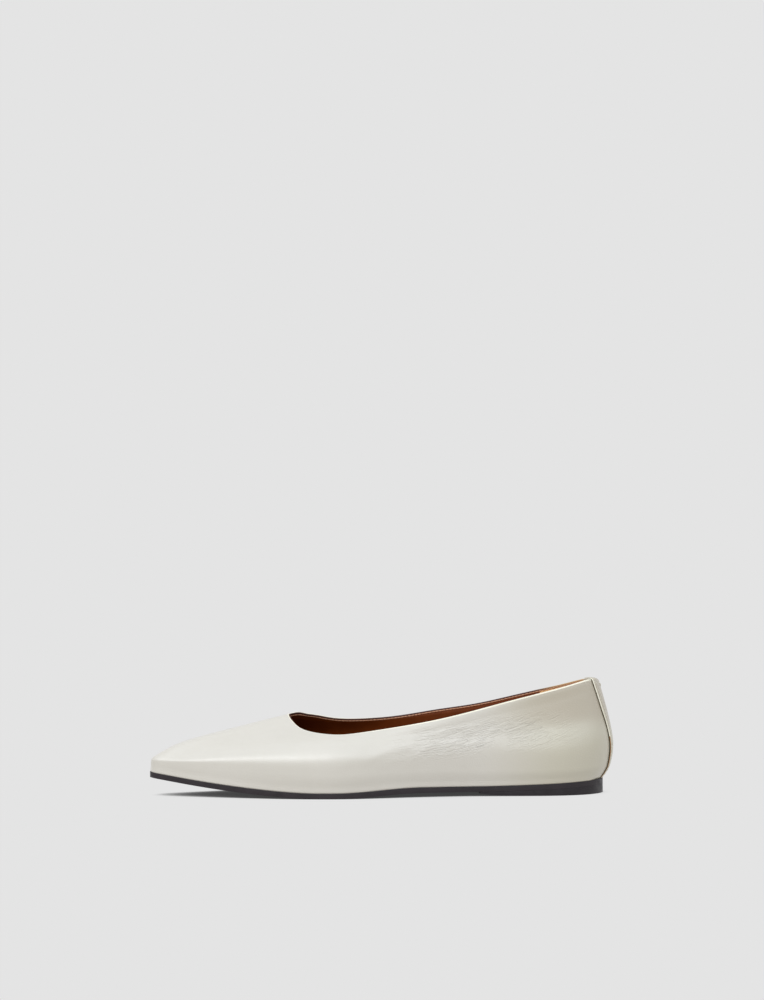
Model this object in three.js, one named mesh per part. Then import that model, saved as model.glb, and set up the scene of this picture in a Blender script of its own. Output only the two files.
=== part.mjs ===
// A left pointed ballet flat: outsole, low heel lift, insole, one-piece upper and a strip over the back seam.
// Millimetres, +Z up. The toe points along -X, the outer (lateral) side of the foot is -Y, the inner (medial) +Y.
import * as THREE from "three";
import { NURBSCurve } from "three/addons/curves/NURBSCurve.js";
import { mergeVertices } from "three/addons/utils/BufferGeometryUtils.js";

// Driving dimensions of the sole
const soleLength = 252;
const ballWidth = 77;
const waistWidth = 48.5;
const heelWidth = 54;
const toeWidth = 17;
const soleThickness = 3;
const soleEdgeRound = 0.5;
const toeSpring = 10.2;
const flatStart = 93;
const flatEnd = 104;
const waistStart = 150;
const waistRise = 2.3;
const heelLiftHeight = 5;
const heelFrontFoot = 199;
const heelFrontTop = 182;
const bedCurve = 1.5;
const heelFrontCurve = 1.6;

// Driving dimensions of the upper
const vampLength = 76.8;
const throatHeight = 44.2;
const collarWidth = 60;
const lateralLow = 34.2;
const medialLow = 40.1;
const backHeight = 63.2;
const backLean = 2.8;
const wall = 1.6;
const featherInset = 0.8;

// Driving dimensions of the insole and the back strip
const insoleThickness = 2.6;
const insoleDish = 0.8;
const stripTopWidth = 24;
const stripFootWidth = 17;
const stripThickness = 0.8;
const stripFootThickness = 0.4;
const stripSkived = 0.4;
const stripTurnIn = 7;

// Clearances: between pieces that are glued or stitched together, and round the insole's edge
const seam = 0.3;
const insoleClearance = 0.4;

const lateral = -1;
const medial = 1;

// The sole's outline from the toe's tip to the back of the heel.
// at: share of the sole's length. lateral, medial: distance from the centre line, as a share of the width in "of".
const outlineRows = [
  { at: 0, lateral: 0, medial: 0, of: toeWidth },
  { at: 0.0014, lateral: 0.29, medial: 0.29, of: toeWidth },
  { at: 0.0103, lateral: 0.5, medial: 0.5, of: toeWidth },
  { at: 0.032, lateral: 0.665, medial: 0.69, of: toeWidth },
  { at: 0.079, lateral: 0.217, medial: 0.228, of: ballWidth },
  { at: 0.159, lateral: 0.324, medial: 0.339, of: ballWidth },
  { at: 0.238, lateral: 0.413, medial: 0.422, of: ballWidth },
  { at: 0.31, lateral: 0.478, medial: 0.468, of: ballWidth },
  { at: 0.365, lateral: 0.509, medial: 0.478, of: ballWidth },
  { at: 0.421, lateral: 0.52, medial: 0.457, of: ballWidth },
  { at: 0.484, lateral: 0.492, medial: 0.4, of: ballWidth },
  { at: 0.556, lateral: 0.69, medial: 0.53, of: waistWidth },
  { at: 0.635, lateral: 0.6, medial: 0.456, of: waistWidth },
  { at: 0.714, lateral: 0.552, medial: 0.448, of: waistWidth },
  { at: 0.794, lateral: 0.493, medial: 0.452, of: heelWidth },
  { at: 0.865, lateral: 0.504, medial: 0.496, of: heelWidth },
  { at: 0.921, lateral: 0.462, medial: 0.464, of: heelWidth },
  { at: 0.964, lateral: 0.346, medial: 0.348, of: heelWidth },
  { at: 0.99, lateral: 0.184, medial: 0.184, of: heelWidth },
  { at: 1, lateral: 0, medial: 0, of: heelWidth },
];

// The collar's line. around: share of the way round the outline from toe to heel of the wall line that ends there.
// back: share of the way from the throat to the back. out: share of the collar's width, on each side.
// high: share of the rise from the collar's low point on that side up to "top".
const collarRows = [
  { around: 0, back: 0, out: [0, 0], high: [1, 1], top: throatHeight },
  { around: 0.035, back: 0.0019, out: [0.05, 0.05], high: [0.905, 1.06], top: throatHeight },
  { around: 0.1, back: 0.013, out: [0.127, 0.127], high: [0.665, 1.13], top: throatHeight },
  { around: 0.18, back: 0.0305, out: [0.226, 0.224], high: [0.415, 1.15], top: throatHeight },
  { around: 0.255, back: 0.0554, out: [0.321, 0.314], high: [0.225, 0.922], top: throatHeight },
  { around: 0.32, back: 0.0902, out: [0.404, 0.393], high: [0.096, 0.632], top: throatHeight },
  { around: 0.375, back: 0.133, out: [0.464, 0.449], high: [0.011, 0.25], top: throatHeight },
  { around: 0.425, back: 0.186, out: [0.501, 0.479], high: [0, 0.026], top: throatHeight },
  { around: 0.48, back: 0.263, out: [0.514, 0.486], high: [0.05, 0.005], top: backHeight },
  { around: 0.55, back: 0.371, out: [0.505, 0.471], high: [0.138, 0.063], top: backHeight },
  { around: 0.62, back: 0.487, out: [0.482, 0.449], high: [0.256, 0.193], top: backHeight },
  { around: 0.69, back: 0.603, out: [0.454, 0.426], high: [0.417, 0.318], top: backHeight },
  { around: 0.76, back: 0.713, out: [0.43, 0.412], high: [0.586, 0.49], top: backHeight },
  { around: 0.825, back: 0.815, out: [0.39, 0.382], high: [0.734, 0.665], top: backHeight },
  { around: 0.878, back: 0.894, out: [0.33, 0.327], high: [0.852, 0.798], top: backHeight },
  { around: 0.924, back: 0.953, out: [0.238, 0.237], high: [0.945, 0.915], top: backHeight },
  { around: 0.963, back: 0.988, out: [0.13, 0.13], high: [0.975, 0.962], top: backHeight },
  { around: 1, back: 1, out: [0, 0], high: [0.953, 0.953], top: backHeight },
];

// The shape of the wall between the sole and the collar, as shares of the height of the collar at the back. Pairs
// are lateral then medial. low, corner: how far the wall stands out past the sole's edge, low down and at its
// shoulder. lowHigh, cornerHigh: how far above the sole. slope: share of the way from shoulder to collar of the
// point that carries the arch. arch: how far that point is raised, or lowered where the wall stands upright above
// its shoulder. soft: share of the wall taken up by the shoulder's curve.
const wallRows = [
  { around: 0, low: 0.005, corner: 0.001, lowHigh: 0.06, cornerHigh: 0.12,
    slope: 0.23, arch: 0.062, soft: 0.6 },
  { around: 0.05, low: 0.01, corner: 0.008, lowHigh: 0.07, cornerHigh: 0.128,
    slope: 0.25, arch: [0.066, 0.074], soft: 0.45 },
  { around: 0.18, low: 0.015, corner: 0.012, lowHigh: 0.08, cornerHigh: [0.215, 0.22],
    slope: 0.34, arch: [0.055, 0.066], soft: 0.45 },
  { around: 0.37, low: [0.03, 0.036], corner: [0.028, 0.034], lowHigh: 0.1, cornerHigh: [0.3, 0.33],
    slope: 0.45, arch: [0.045, 0.05], soft: 0.7 },
  { around: 0.48, low: [0.034, 0.05], corner: [0.04, 0.075], lowHigh: 0.1, cornerHigh: [0.31, 0.37],
    slope: 0.5, arch: [0.012, 0.03], soft: 0.8 },
  { around: 0.62, low: [0.04, 0.06], corner: [0.068, 0.105], lowHigh: 0.1, cornerHigh: [0.31, 0.37],
    slope: 0.55, arch: [-0.03, -0.02], soft: 0.85 },
  { around: 0.76, low: [0.042, 0.05], corner: [0.064, 0.08], lowHigh: 0.09, cornerHigh: [0.3, 0.31],
    slope: 0.66, arch: -0.11, soft: 0.85 },
  { around: 0.9, low: [0.046, 0.048], corner: [0.064, 0.07], lowHigh: 0.08, cornerHigh: 0.29,
    slope: 0.58, arch: -0.07, soft: 0.85 },
  { around: 1, low: 0.059, corner: 0.106, lowHigh: 0.079, cornerHigh: 0.29,
    slope: 0.5, arch: 0.026, soft: 0.84 },
];

// Mesh fineness
const upperStations = 92;
const upperHeights = 12;
const soleStations = 46;
const heelStations = 22;
const stripAcross = 12;
const stripHeights = 20;
const rimSteps = [1.25, 1.5, 1.75];
const crowding = 0.6;
const slabAcross = [0.25, 0.5, 0.75];
const slimmestEdge = 0.4;
const lowestEdge = 0.3;
const stationGap = 0.25;
const splinePasses = 80;
const halvings = 40;
const nudge = 1e-4;

// A smooth periodic function of u through the values at the knots, all in one turn of u from 0 to 1.
function closedSpline(knots, values) {
  const count = knots.length;
  const after = (i) => (i + 1) % count;
  const before = (i) => (i + count - 1) % count;
  const gap = knots.map((knot, i) => (i === count - 1 ? 1 : knots[i + 1]) - knot);
  const bend = knots.map(() => 0);
  for (let pass = 0; pass < splinePasses; pass++) {
    for (let i = 0; i < count; i++) {
      const a = gap[before(i)];
      const b = gap[i];
      const kink = (values[after(i)] - values[i]) / b - (values[i] - values[before(i)]) / a;
      bend[i] = (6 * kink - a * bend[before(i)] - b * bend[after(i)]) / (2 * (a + b));
    }
  }
  return (turn) => {
    const u = turn - Math.floor(turn);
    let i = count - 1;
    while (knots[i] > u) i--;
    const share = (u - knots[i]) / gap[i];
    const rest = 1 - share;
    const straight = rest * values[i] + share * values[after(i)];
    const curved = (rest ** 3 - rest) * bend[i] + (share ** 3 - share) * bend[after(i)];
    return straight + (curved * gap[i] ** 2) / 6;
  };
}

// The closed spline of one quantity round the shoe: u is 0 at the toe's tip, passes the lateral side, is 0.5 at the
// back of the heel and comes back on the medial side. value(row, side) gives the quantity on one side.
function roundTheShoe(rows, value) {
  const inner = rows.slice(1, -1);
  const back = [...inner].reverse();
  const knots = [0, ...inner.map((row) => row.around / 2), 0.5, ...back.map((row) => 1 - row.around / 2)];
  const values = [
    value(rows[0], lateral),
    ...inner.map((row) => value(row, lateral)),
    value(rows[rows.length - 1], lateral),
    ...back.map((row) => value(row, medial)),
  ];
  return closedSpline(knots, values);
}

// A row's value on one side: of a pair, or the same number on both sides.
const sideOf = (value, side) => [value].flat().at(side === lateral ? 0 : -1);

// Gives each outline row its share of the way round, from the mean of the two sides' chords.
function withAround(rows) {
  const chords = rows.slice(1).map((row, i) => {
    const along = (row.at - rows[i].at) * soleLength;
    const steps = ["lateral", "medial"].map((side) => row[side] * row.of - rows[i][side] * rows[i].of);
    return (Math.hypot(along, steps[0]) + Math.hypot(along, steps[1])) / 2;
  });
  const total = chords.reduce((sum, chord) => sum + chord, 0);
  let walked = 0;
  return rows.map((row, i) => {
    walked += i === 0 ? 0 : chords[i - 1];
    return { ...row, around: walked / total };
  });
}

const outline = withAround(outlineRows);
const edgeAlong = roundTheShoe(outline, (row) => row.at * soleLength);
const edgeAcross = roundTheShoe(outline, (row, side) => (side === lateral ? -row.lateral : row.medial) * row.of);

// A point of the sole's outline, moved outwards by "out". x is measured from the toe's tip.
function edgePoint(u, out = 0) {
  const along = new THREE.Vector2(
    edgeAlong(u + nudge) - edgeAlong(u - nudge),
    edgeAcross(u + nudge) - edgeAcross(u - nudge),
  ).normalize();
  return new THREE.Vector2(edgeAlong(u) + along.y * out, edgeAcross(u) - along.x * out);
}

// Height of the sole's underside: toe spring, flat tread, waist and heel seat.
function soleBottom(x) {
  const spring = toeSpring * Math.max(0, 1 - x / flatStart) ** bedCurve;
  const waist = waistRise * THREE.MathUtils.smoothstep(x, flatEnd, waistStart);
  const seatShare = Math.max(0, (x - heelFrontTop) / (soleLength - heelFrontTop));
  const seat = (heelLiftHeight - waistRise) * seatShare ** bedCurve;
  return spring + waist + seat;
}

const soleTop = (x) => soleBottom(x) + soleThickness;

// The collar's line and the wall's shape as functions of u
const collarReach = soleLength - backLean - vampLength;
const lowOf = (side) => (side === lateral ? lateralLow : medialLow);
const collarAlong = roundTheShoe(collarRows, (row) => vampLength + row.back * collarReach);
const collarAcross = roundTheShoe(collarRows, (row, side) => side * sideOf(row.out, side) * collarWidth);
const collarHeight = roundTheShoe(
  collarRows,
  (row, side) => lowOf(side) + sideOf(row.high, side) * (row.top - lowOf(side)),
);
const wallShape = (key) => roundTheShoe(wallRows, (row, side) => sideOf(row[key], side));
const lowOut = wallShape("low");
const lowHigh = wallShape("lowHigh");
const cornerOut = wallShape("corner");
const cornerHigh = wallShape("cornerHigh");
const slopeShare = wallShape("slope");
const archHigh = wallShape("arch");
const softness = wallShape("soft");

// One line of the upper's outer face, from the sole's edge over the shoulder to the collar.
function wallLine(u) {
  const raised = (out, high) => {
    const p = edgePoint(u, out);
    return new THREE.Vector3(p.x, p.y, soleTop(p.x) + seam + high * backHeight);
  };
  const foot = raised(-featherInset, 0);
  const low = raised(lowOut(u) * backHeight - featherInset, lowHigh(u));
  const corner = raised(cornerOut(u) * backHeight - featherInset, cornerHigh(u));
  const collar = new THREE.Vector3(collarAlong(u), collarAcross(u), collarHeight(u));
  const slope = corner.clone().lerp(collar, slopeShare(u));
  slope.z += archHigh(u) * backHeight;
  const below = corner.clone().lerp(low, softness(u));
  const above = corner.clone().lerp(slope, softness(u));
  const points = [foot, low, below, corner, above, slope, collar];
  const knots = [0, 0, 0, 0, 0.25, 0.5, 0.75, 1, 1, 1, 1];
  return new NURBSCurve(3, knots, points.map((p) => new THREE.Vector4(p.x, p.y, p.z, 1)));
}

// The outer face at u and v, with v 0 at the sole and 1 at the collar, and its outward and upward directions.
function wallFrame(u, v) {
  const line = wallLine(u);
  const at = line.getPoint(v);
  const low = Math.max(0, v - nudge);
  const high = Math.min(1, v + nudge);
  const up = line.getPoint(high).sub(line.getPoint(low)).normalize();
  const along = wallLine(u + nudge).getPoint(v).sub(wallLine(u - nudge).getPoint(v));
  const out = along.cross(up).normalize();
  return { at, up, out };
}

// A point of the wall's skin grown by "grow". step runs from 0 at the sole up the outside to 1 at the collar, over
// the rounded rim to 2, and down the inside to 3 at the sole.
function skinPoint(u, step, grow = 0) {
  const v = step <= 1 ? step : step < 2 ? 1 : 3 - step;
  const { at, up, out } = wallFrame(u, v);
  if (step <= 1) return at.addScaledVector(out, grow);
  if (step >= 2) return at.addScaledVector(out, -wall - grow);
  const angle = (step - 1) * Math.PI;
  const radius = wall / 2 + grow;
  return at
    .addScaledVector(out, radius * Math.cos(angle) - wall / 2)
    .addScaledVector(up, radius * Math.sin(angle));
}

// Joins rings of points, each a closed loop with as many points, into one closed geometry.
// With joinEnds the last ring is joined to the first, and otherwise both end rings enclose no area.
function skin(rings, joinEnds) {
  const around = rings[0].length;
  const index = [];
  const strips = joinEnds ? rings.length : rings.length - 1;
  for (let i = 0; i < strips; i++) {
    const here = i * around;
    const there = ((i + 1) % rings.length) * around;
    for (let k = 0; k < around; k++) {
      const next = (k + 1) % around;
      index.push(here + k, there + k, there + next, here + k, there + next, here + next);
    }
  }
  const geometry = new THREE.BufferGeometry();
  const numbers = rings.flat().flatMap((p) => [p.x, p.y, p.z]);
  geometry.setAttribute("position", new THREE.Float32BufferAttribute(numbers, 3));
  geometry.setIndex(index);
  return dropFlat(mergeVertices(geometry, 1e-3));
}

// Leaves out the triangles that merging has shrunk to a line.
function dropFlat(geometry) {
  const old = geometry.index.array;
  const kept = [];
  for (let i = 0; i < old.length; i += 3) {
    const [a, b, c] = [old[i], old[i + 1], old[i + 2]];
    if (a !== b && b !== c && c !== a) kept.push(a, b, c);
  }
  geometry.setIndex(kept);
  return geometry;
}

// A ring shrunk to its own middle, which closes the end of a row of rings.
function middleOf(ring) {
  const middle = ring.reduce((sum, p) => sum.add(p), new THREE.Vector3()).divideScalar(ring.length);
  return ring.map(() => middle);
}

// Values of u from "from" to "to", crowded towards the toe's tip and the back of the heel.
function crowded(from, to, count) {
  const spread = (u) => u - (crowding * Math.sin(4 * Math.PI * u)) / (4 * Math.PI);
  const start = solve(spread, from, 0, 0.5);
  return Array.from({ length: count + 1 }, (_, i) => spread(start + ((to - start) * i) / count));
}

// Crowded values of u with the outline's places "turns", x from the toe's tip, among them.
function stationsThrough(from, to, count, turns) {
  const exact = turns.map(uAt);
  const apart = (stationGap * (to - from)) / count;
  const kept = crowded(from, to, count).filter((u, i) => {
    const end = i === 0 || i === count;
    return end || exact.every((turn) => Math.abs(u - turn) > apart);
  });
  return [...kept, ...exact].sort((a, b) => a - b);
}

// Where a rising function reaches the value "wanted" between "low" and "high".
function solve(rising, wanted, low, high) {
  let [from, to] = [low, high];
  for (let step = 0; step < halvings; step++) {
    const middle = (from + to) / 2;
    if (rising(middle) < wanted) from = middle;
    else to = middle;
  }
  return from;
}

// The lateral u at which the outline is x from the toe's tip.
const uAt = (x) => solve(edgeAlong, x, 0, 0.5);

// One ring across a flat piece at u: its lateral edge, top, medial edge and underside. inset moves its edge in,
// bottom(x) and top(x) are its heights, round its softened edges, and dish how much lower its top's middle is.
function slabRing(u, { inset = 0, bottom, top, round, dish = 0 }) {
  const left = edgePoint(u, -inset);
  const right = edgePoint(1 - u, -inset);
  const width = left.distanceTo(right);
  const edge = width > 0 ? Math.min(slimmestEdge, round / width) : 0;
  const at = (share, height) => {
    const p = left.clone().lerp(right, share);
    return new THREE.Vector3(p.x, p.y, height(p.x));
  };
  const softened = (x) => Math.min(round, (top(x) - bottom(x)) * lowestEdge);
  const bevel = (side) => [at(side, (x) => bottom(x) + softened(x)), at(side, (x) => top(x) - softened(x))];
  const sunk = (share) => (x) => top(x) - dish * Math.sin(Math.PI * share) * Math.min(1, width / heelWidth);
  return [
    at(0.5, bottom),
    at(edge, bottom),
    ...bevel(0),
    at(edge, top),
    ...slabAcross.map((share) => at(share, sunk(share))),
    at(1 - edge, top),
    ...bevel(1).reverse(),
    at(1 - edge, bottom),
  ];
}

function outsole() {
  const shape = { bottom: soleBottom, top: soleTop, round: soleEdgeRound };
  const stations = stationsThrough(0, 0.5, soleStations, [flatStart, flatEnd, heelFrontTop]);
  return skin(stations.map((u) => slabRing(u, shape)), false);
}

// The lift under the heel seat, with a front that slopes up into the waist.
function heelLift() {
  const underSole = (x) => soleBottom(x) - seam;
  const tread = (x) => {
    const share = THREE.MathUtils.clamp((heelFrontFoot - x) / (heelFrontFoot - heelFrontTop), 0, 1);
    return (underSole(x) - soleEdgeRound) * share ** heelFrontCurve;
  };
  const shape = { bottom: tread, top: underSole, round: soleEdgeRound };
  const stations = stationsThrough(uAt(heelFrontTop), 0.5, heelStations, [heelFrontFoot]);
  const rings = stations.map((u) => slabRing(u, shape));
  return skin([middleOf(rings[0]), ...rings], false);
}

function insole() {
  const inset = featherInset + wall + insoleClearance;
  const bottom = (x) => soleTop(x) + seam;
  const top = (x) => bottom(x) + insoleThickness;
  const shape = { inset, bottom, top, round: soleEdgeRound, dish: insoleDish };
  return skin(crowded(0, 0.5, soleStations).map((u) => slabRing(u, shape)), false);
}

// The hollow upper: up the outside, over the rim and down the inside at each station round the shoe.
function upper() {
  const heights = Array.from({ length: upperHeights + 1 }, (_, i) => i / upperHeights);
  const steps = [...heights, ...rimSteps, ...heights.map((height) => 2 + height)];
  const stations = crowded(0, 1, upperStations).slice(0, -1);
  const rings = stations.map((u) =>
    steps.map((step) => {
      const p = skinPoint(u, step);
      if (step === 3) p.z = soleTop(p.x) + seam;
      return p;
    }),
  );
  return skin(rings, true);
}

// The strip over the back seam: up the outside, folded over the rim and down the inside by stripTurnIn. It is
// pared thin towards its foot, over a share stripSkived of the height.
function backStrip() {
  const turnIn = stripTurnIn / backHeight;
  const foot = seam / backHeight;
  const outside = Array.from({ length: stripHeights + 1 }, (_, i) => foot + ((1 - foot) * i) / stripHeights);
  const inside = Array.from({ length: 4 }, (_, i) => 2 + (turnIn * i) / 3);
  const steps = [...outside, ...rimSteps, ...inside];
  const shares = Array.from({ length: stripAcross + 1 }, (_, i) => (2 * i) / stripAcross - 1);
  const thicknessAt = (step) =>
    THREE.MathUtils.lerp(stripFootThickness, stripThickness, Math.min(1, step / stripSkived));
  const ring = (step, thickness) => {
    const ends = [skinPoint(0.5 - nudge, step), skinPoint(0.5 + nudge, step)];
    const width = THREE.MathUtils.lerp(stripFootWidth, stripTopWidth, Math.min(1, step));
    const half = (width * nudge) / ends[0].distanceTo(ends[1]);
    const face = (grow) => shares.map((share) => skinPoint(0.5 + share * half, step, grow));
    return [...face(seam), ...face(seam + thickness).reverse()];
  };
  const rings = steps.map((step) => ring(step, thicknessAt(step)));
  return skin([ring(steps[0], 0), ...rings, ring(steps[steps.length - 1], 0)], false);
}

// Finishes
const finishes = {
  leather: new THREE.MeshStandardMaterial({ color: 0xdedacb, roughness: 0.42, metalness: 0 }),
  sole: new THREE.MeshStandardMaterial({ color: 0x3a3436, roughness: 0.5, metalness: 0 }),
  sock: new THREE.MeshStandardMaterial({ color: 0x6a3414, roughness: 0.55, metalness: 0 }),
};

function piece(name, geometry, finish) {
  const mesh = new THREE.Mesh(geometry, finishes[finish]);
  mesh.name = name;
  return mesh;
}

const shoe = new THREE.Group();
shoe.add(
  piece("outsole", outsole(), "sole"),
  piece("heel_lift", heelLift(), "sole"),
  piece("insole", insole(), "sock"),
  piece("upper", upper(), "leather"),
  piece("back_strip", backStrip(), "leather"),
);

// The origin is the middle of the shoe's length and width, on the floor.
const middle = new THREE.Box3().setFromObject(shoe).getCenter(new THREE.Vector3());
shoe.position.set(-middle.x, -middle.y, 0);

export default shoe;
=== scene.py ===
import math

import bmesh
import bpy
import numpy as np
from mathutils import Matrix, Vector, noise


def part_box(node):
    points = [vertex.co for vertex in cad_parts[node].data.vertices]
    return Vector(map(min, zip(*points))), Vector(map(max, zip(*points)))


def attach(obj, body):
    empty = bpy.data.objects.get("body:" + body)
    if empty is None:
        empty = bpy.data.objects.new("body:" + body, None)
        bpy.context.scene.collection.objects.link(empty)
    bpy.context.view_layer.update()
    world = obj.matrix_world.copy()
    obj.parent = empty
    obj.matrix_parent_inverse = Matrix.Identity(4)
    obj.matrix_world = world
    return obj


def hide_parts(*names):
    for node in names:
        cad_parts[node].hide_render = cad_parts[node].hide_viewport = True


# A left pointed ballet flat: leather upper with its lining and bound collar, sock, back strip, sole and
# heel lift. Sizes are in millimetres, unless a comment says otherwise. x runs from the toe's tip to the heel,
# the outer side of the foot is -y and the inner side +y.
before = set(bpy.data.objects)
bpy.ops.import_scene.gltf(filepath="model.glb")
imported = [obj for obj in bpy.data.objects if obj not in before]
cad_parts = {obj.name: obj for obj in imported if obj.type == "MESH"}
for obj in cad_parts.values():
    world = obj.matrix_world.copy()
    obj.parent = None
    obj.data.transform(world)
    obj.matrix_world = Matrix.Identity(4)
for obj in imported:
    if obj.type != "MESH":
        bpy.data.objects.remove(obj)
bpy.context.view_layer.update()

MM = 0.001
LATERAL = -1
MEDIAL = 1

# The last, the sole and the upper, as in the frame
SOLE_LENGTH = 252.0
BALL_WIDTH = 77.0
WAIST_WIDTH = 48.5
HEEL_WIDTH = 54.0
TOE_WIDTH = 17.0
SOLE_THICKNESS = 3.0
TOE_SPRING = 10.2
FLAT_START = 93.0
FLAT_END = 104.0
WAIST_START = 150.0
WAIST_RISE = 2.3
HEEL_LIFT_HEIGHT = 5.0
HEEL_FRONT_FOOT = 199.0
HEEL_FRONT_TOP = 182.0
BED_CURVE = 1.5
HEEL_FRONT_CURVE = 1.6
VAMP_LENGTH = 76.8
THROAT_HEIGHT = 44.2
COLLAR_WIDTH = 60.0
LATERAL_LOW = 34.2
MEDIAL_LOW = 40.1
BACK_HEIGHT = 63.2
BACK_LEAN = 2.8
WALL = 1.6
FEATHER_INSET = 0.8
SEAM = 0.3
INSOLE_THICKNESS = 2.6
INSOLE_DISH = 0.8
STRIP_TOP_WIDTH = 24.0
STRIP_FOOT_WIDTH = 17.0
STRIP_THICKNESS = 0.8
STRIP_TURN_IN = 7.0

# What only shows close up
LEATHER_THICKNESS = 0.8
LINING_START = 0.86
EDGE_ROUND = 0.12
SOLE_GAP = 0.03
SOCK_GAP = 0.15
LIFT_OVERLAP = 0.5
LIFT_CORNER = 0.03
STRIP_GAP = 0.05
STRIP_FOOT_THICKNESS = 0.4
STRIP_TURN_THICKNESS = 0.35
STRIP_NARROWER = (0.3, 1.1)
STRIP_STITCH_INSET = 1.7
COLLAR_STITCH_DROP = 0.22
BAR_TACK_DROP = 2.6
BAR_TACK_WIDTH = 7.0
STITCH_SEED = 4
GRIP_FRONT = 33.0
GRIP_THICKNESS = 0.45
GRIP_GLUE = 0.01
GRIP_EDGE = 0.03
# The leather's creases fade over these lengths: towards the collar, and beside the strip, where they end
# this far from it. That holds within the last length of the heel's back.
PLAIN_BY_COLLAR = 6.0
PLAIN_BY_STRIP = 5.0
PLAIN_BESIDE_STRIP = 1.0
PLAIN_AT_HEEL = 25.0

# Shares of the way from the sole to the collar, and the grip's faded front as a share of the way round
STRIP_RAW_BELOW = 0.55
STRIP_START = 0.004
STRIP_SKIVED = 0.4
STRIP_TURN = {"from": 0.96, "over": 0.2}
PLAIN_BY_SOLE = 0.08
PRESSED_FOOT = 0.03
GRIP_FOOT = 0.1
GRIP_TOP = 0.999
GRIP_FADE = {"across": 0.004, "up": 0.01}

# The strip's outer corner, as shares of its half width and of its thickness, and the width of its face
STRIP_CORNER = ((1, 1, 0.995, 0.985), (0, 0.5, 0.76, 0.92))
STRIP_FACE = 0.972
# Shares of the strip's thickness: the painted shade at the seam ends, the painted highlight on the edge
# starts, the cut edge ends
STRIP_SHADE_BELOW = 0.3
STRIP_HIGHLIGHT_ABOVE = 0.5
STRIP_CUT_BELOW = 0.94

# The fine wrinkles' sizes, how steeply they climb towards the heel, and how sharp their valleys are
WRINKLE_LONG = 4.6
WRINKLE_SHORT = 0.72
WRINKLE_DEPTH = 0.18
WRINKLE_SLOPE = 0.04
WRINKLE_BEND = 2.1
WRINKLE_SHARPNESS = 9.0
# Their band, in metres in the frame: where it starts and ends along the shoe, its middle's height at x 0,
# how that climbs, and how far from the middle it fades
WRINKLES_START = (-0.005, 0.03)
WRINKLES_END = (0.118, 0.08)
WRINKLES_MIDDLE = 0.0275
WRINKLES_CLIMB = 0.09
WRINKLES_FADE = (0.013, 0.004)
WRINKLE_PATCHES = (0.34, 0.50)
TOWARDS_INNER_SIDE = (-0.005, 0.01)
ON_INNER_SIDE = 0.45

# Where a tone gives way to another, in metres in the frame
# The first two are painted shade on the leather: darker towards the heel, and darker still high up there.
PAINTED_SHADE_AT_HEEL = (0.05, 0.10)
PAINTED_SHADE_HIGH_AT_HEEL = (0.034, 0.045)
BINDING_AT_HEEL = (0.084, 0.104)
EDGE_DULLS = (0.030, 0.044)

# Floor, light and camera, with their lengths in metres
FLOOR_SIZE = 60.0
BACKDROP = 0.776
SHADE_REACH = 0.03
SHADE_TONE = 0.05
SHADE_END = 0.6
SKY_LOW = 0.163
SKY_HIGH = 1.274
SKY_RISE = (0.192, 0.411)
SKY_SLANT = -0.228
SKY_BEHIND = 0.82
SKY_WARM = (1.0, 0.91, 0.80, 1.0)
SKY_COOL = (1.0, 1.07, 1.14, 1.0)
LAMP_TINT = (0.962, 0.981, 1.0)
# x, y, z, width, height and brightness of each lamp
LAMPS = (
    (-0.600, -0.724, 0.637, 1.052, 0.431, 3.5),
    (0.159, -0.758, 0.411, 0.389, 0.389, 1.2),
)
# lens: in millimetres. roll: in radians. shift: as shares of the picture.
CAMERA = {"away": 1.1, "high": 0.092, "lens": 71.1, "roll": 0.007, "shift": (0.0011, 0.1279)}

# Mesh fineness
STATIONS = 620
HEIGHTS = 84
RIM_STEPS = 6
INSIDE_STEPS = 13
SOLE_STATIONS = 240
STRIP_ACROSS = 18
CROWDING = 0.6
NUDGE = 1e-4


def table(columns, rows):
    """A short table as named columns."""
    return dict(zip(columns.split(), np.array(rows, float).T))


# The sole's outline. at: share of the length. lateral, medial: distance from the centre line, as shares of
# "of".
OUTLINE = table("at lateral medial of", [
    (0, 0, 0, TOE_WIDTH),
    (0.0014, 0.29, 0.29, TOE_WIDTH),
    (0.0103, 0.5, 0.5, TOE_WIDTH),
    (0.032, 0.665, 0.69, TOE_WIDTH),
    (0.079, 0.217, 0.228, BALL_WIDTH),
    (0.159, 0.324, 0.339, BALL_WIDTH),
    (0.238, 0.413, 0.422, BALL_WIDTH),
    (0.31, 0.478, 0.468, BALL_WIDTH),
    (0.365, 0.509, 0.478, BALL_WIDTH),
    (0.421, 0.52, 0.457, BALL_WIDTH),
    (0.484, 0.492, 0.4, BALL_WIDTH),
    (0.556, 0.69, 0.53, WAIST_WIDTH),
    (0.635, 0.6, 0.456, WAIST_WIDTH),
    (0.714, 0.552, 0.448, WAIST_WIDTH),
    (0.794, 0.493, 0.452, HEEL_WIDTH),
    (0.865, 0.504, 0.496, HEEL_WIDTH),
    (0.921, 0.462, 0.464, HEEL_WIDTH),
    (0.964, 0.346, 0.348, HEEL_WIDTH),
    (0.99, 0.184, 0.184, HEEL_WIDTH),
    (1, 0, 0, HEEL_WIDTH),
])

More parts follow.
